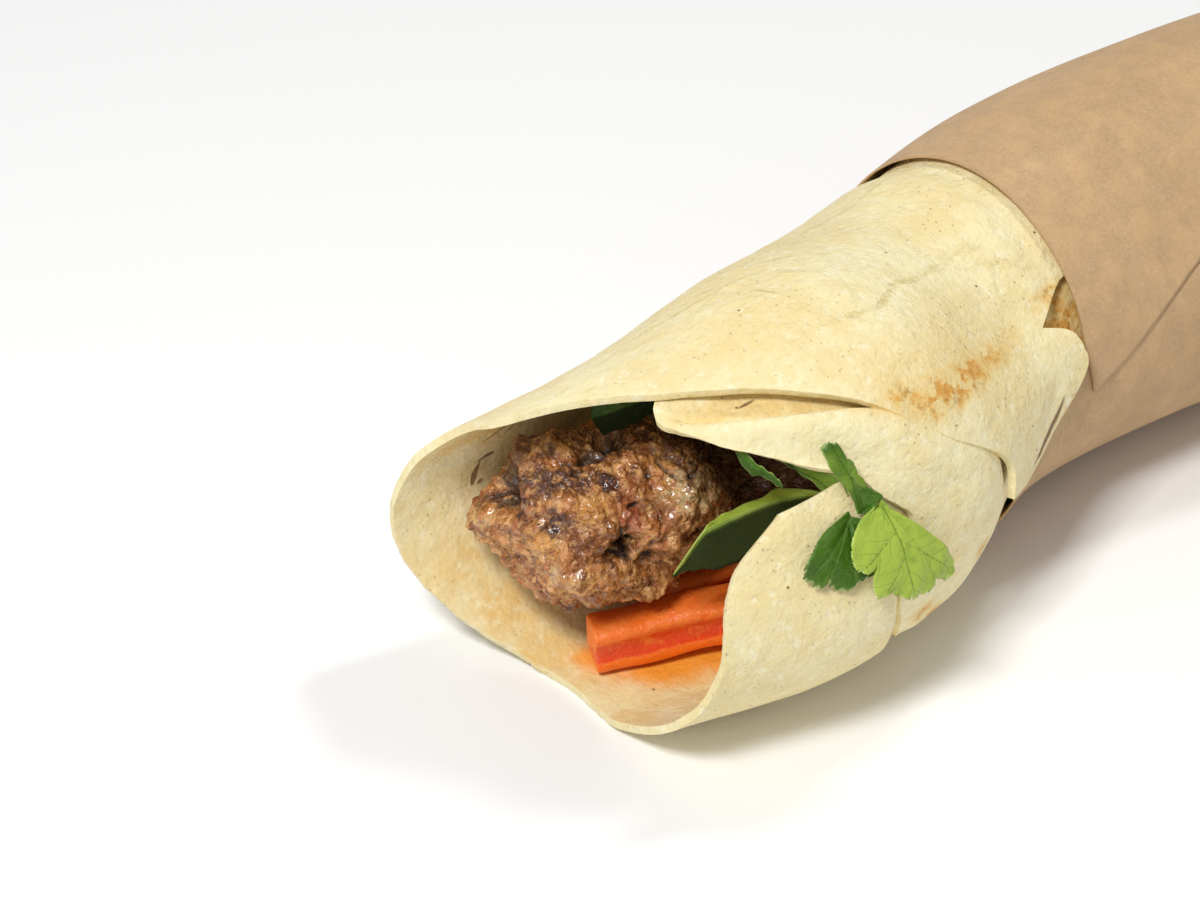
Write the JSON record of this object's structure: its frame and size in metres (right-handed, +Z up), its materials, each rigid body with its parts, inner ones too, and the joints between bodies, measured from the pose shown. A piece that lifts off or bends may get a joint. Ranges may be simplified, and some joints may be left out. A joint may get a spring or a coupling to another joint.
{
  "type": "kofta wrap",
  "caption": "Soft flatbread rolled round a minced meat kofta, tomato and parsley, open at one end and held in a kraft paper sleeve, lying on its side",
  "frame": {"origin": "Middle of the wrap's box in plan, at the height of the surface that it lies on", "axes": "+X runs along the roll from the open mouth to the shut paper tail, +Y across it towards the far side, +Z up"},
  "size_m": [0.2227, 0.1192, 0.0699],
  "materials": {
    "flatbread": "soft cream flatbread, matte, lightly toasted in patches",
    "kraft_paper": "brown kraft paper, matte, fine fibres",
    "kofta": "grilled minced meat, dark brown, coarse and slightly moist",
    "tomato": "wet orange-red tomato flesh and skin",
    "parsley": "fresh green parsley, softly glossy"
  },
  "bodies": {
    "root": {"flatbread": "flatbread", "paper_sleeve": "kraft_paper", "kofta": "kofta", "tomato_strip_front": "tomato", "tomato_strip_back": "tomato", "parsley_leaf_bright": "parsley", "parsley_leaf_dark": "parsley", "parsley_leaf_upright": "parsley", "parsley_leaf_curled": "parsley", "leaf_long": "parsley", "leaf_edge": "parsley", "leaf_behind": "parsley"}
  },
  "joints": []
}
